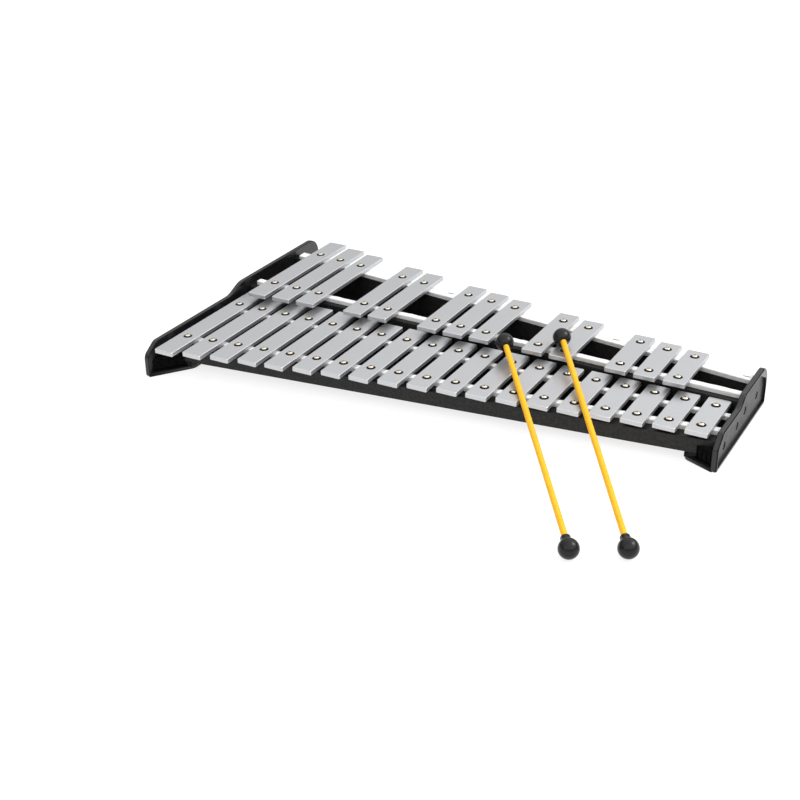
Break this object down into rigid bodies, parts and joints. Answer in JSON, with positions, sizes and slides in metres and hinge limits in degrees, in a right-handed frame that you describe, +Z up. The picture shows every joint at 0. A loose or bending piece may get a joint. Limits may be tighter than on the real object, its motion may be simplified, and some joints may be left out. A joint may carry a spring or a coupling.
{
  "type": "glockenspiel",
  "caption": "Table-top glockenspiel: two rows of screwed metal bars on felt strips in a tapering black frame, with double-ended mallets.",
  "frame": {"origin": "On the table, at the middle of the footprint with the mallets lying in place. X = 0 is midway between the end caps.", "axes": "+X along the keyboard from the low notes to the high notes, +Y from the player to the back, +Z up"},
  "size_m": [0.6482, 0.493, 0.0696],
  "materials": {
    "bar": "fine matte silver paint on aluminium",
    "rail": "satin black paint",
    "board": "flat black paint on hardboard",
    "cap": "satin moulded plastic with a fine texture",
    "felt": "soft white wool felt",
    "grommet": "matte black rubber",
    "screw": "warm nickel plate",
    "cap_screw": "black oxide",
    "staple": "galvanised wire",
    "mallet_shaft": "satin yellow plastic",
    "mallet_ball": "hard black rubber with a low sheen"
  },
  "bodies": {
    "instrument": {"bar_f5": "bar", "bar_fs5": "bar", "bar_g5": "bar", "bar_gs5": "bar", "bar_a5": "bar", "bar_as5": "bar", "bar_b5": "bar", "bar_c6": "bar", "bar_cs6": "bar", "bar_d6": "bar", "bar_ds6": "bar", "bar_e6": "bar", "bar_f6": "bar", "bar_fs6": "bar", "bar_g6": "bar", "bar_gs6": "bar", "bar_a6": "bar", "bar_as6": "bar", "bar_b6": "bar", "bar_c7": "bar", "bar_cs7": "bar", "bar_d7": "bar", "bar_ds7": "bar", "bar_e7": "bar", "bar_f7": "bar", "bar_fs7": "bar", "bar_g7": "bar", "bar_gs7": "bar", "bar_a7": "bar", "bar_as7": "bar", "bar_b7": "bar", "bar_c8": "bar", "low_end_cap": "cap", "high_end_cap": "cap", "natural_front_rail": "rail", "natural_rear_rail": "rail", "sharp_front_rail": "rail", "sharp_rear_rail": "rail", "base_board": "board", "natural_front_felt": "felt", "natural_rear_felt": "felt", "sharp_front_felt": "felt", "sharp_rear_felt": "felt", "natural_bar_grommets": "grommet", "sharp_bar_grommets": "grommet", "natural_bar_screws": "screw", "sharp_bar_screws": "screw", "low_cap_screws": "cap_screw", "high_cap_screws": "cap_screw", "felt_staples": "staple"},
    "mallet_1": {"mallet_1_shaft": "mallet_shaft", "mallet_1_head": "mallet_ball", "mallet_1_end_ball": "mallet_ball"},
    "mallet_2": {"mallet_2_shaft": "mallet_shaft", "mallet_2_head": "mallet_ball", "mallet_2_end_ball": "mallet_ball"}
  },
  "joints": [
    {"name": "mallet_1_lift", "type": "slide", "parent": "instrument", "child": "mallet_1", "axis": [0, 0, 1], "range_m": [0, 0.15]},
    {"name": "mallet_2_lift", "type": "slide", "parent": "instrument", "child": "mallet_2", "axis": [0, 0, 1], "range_m": [0, 0.15]}
  ]
}
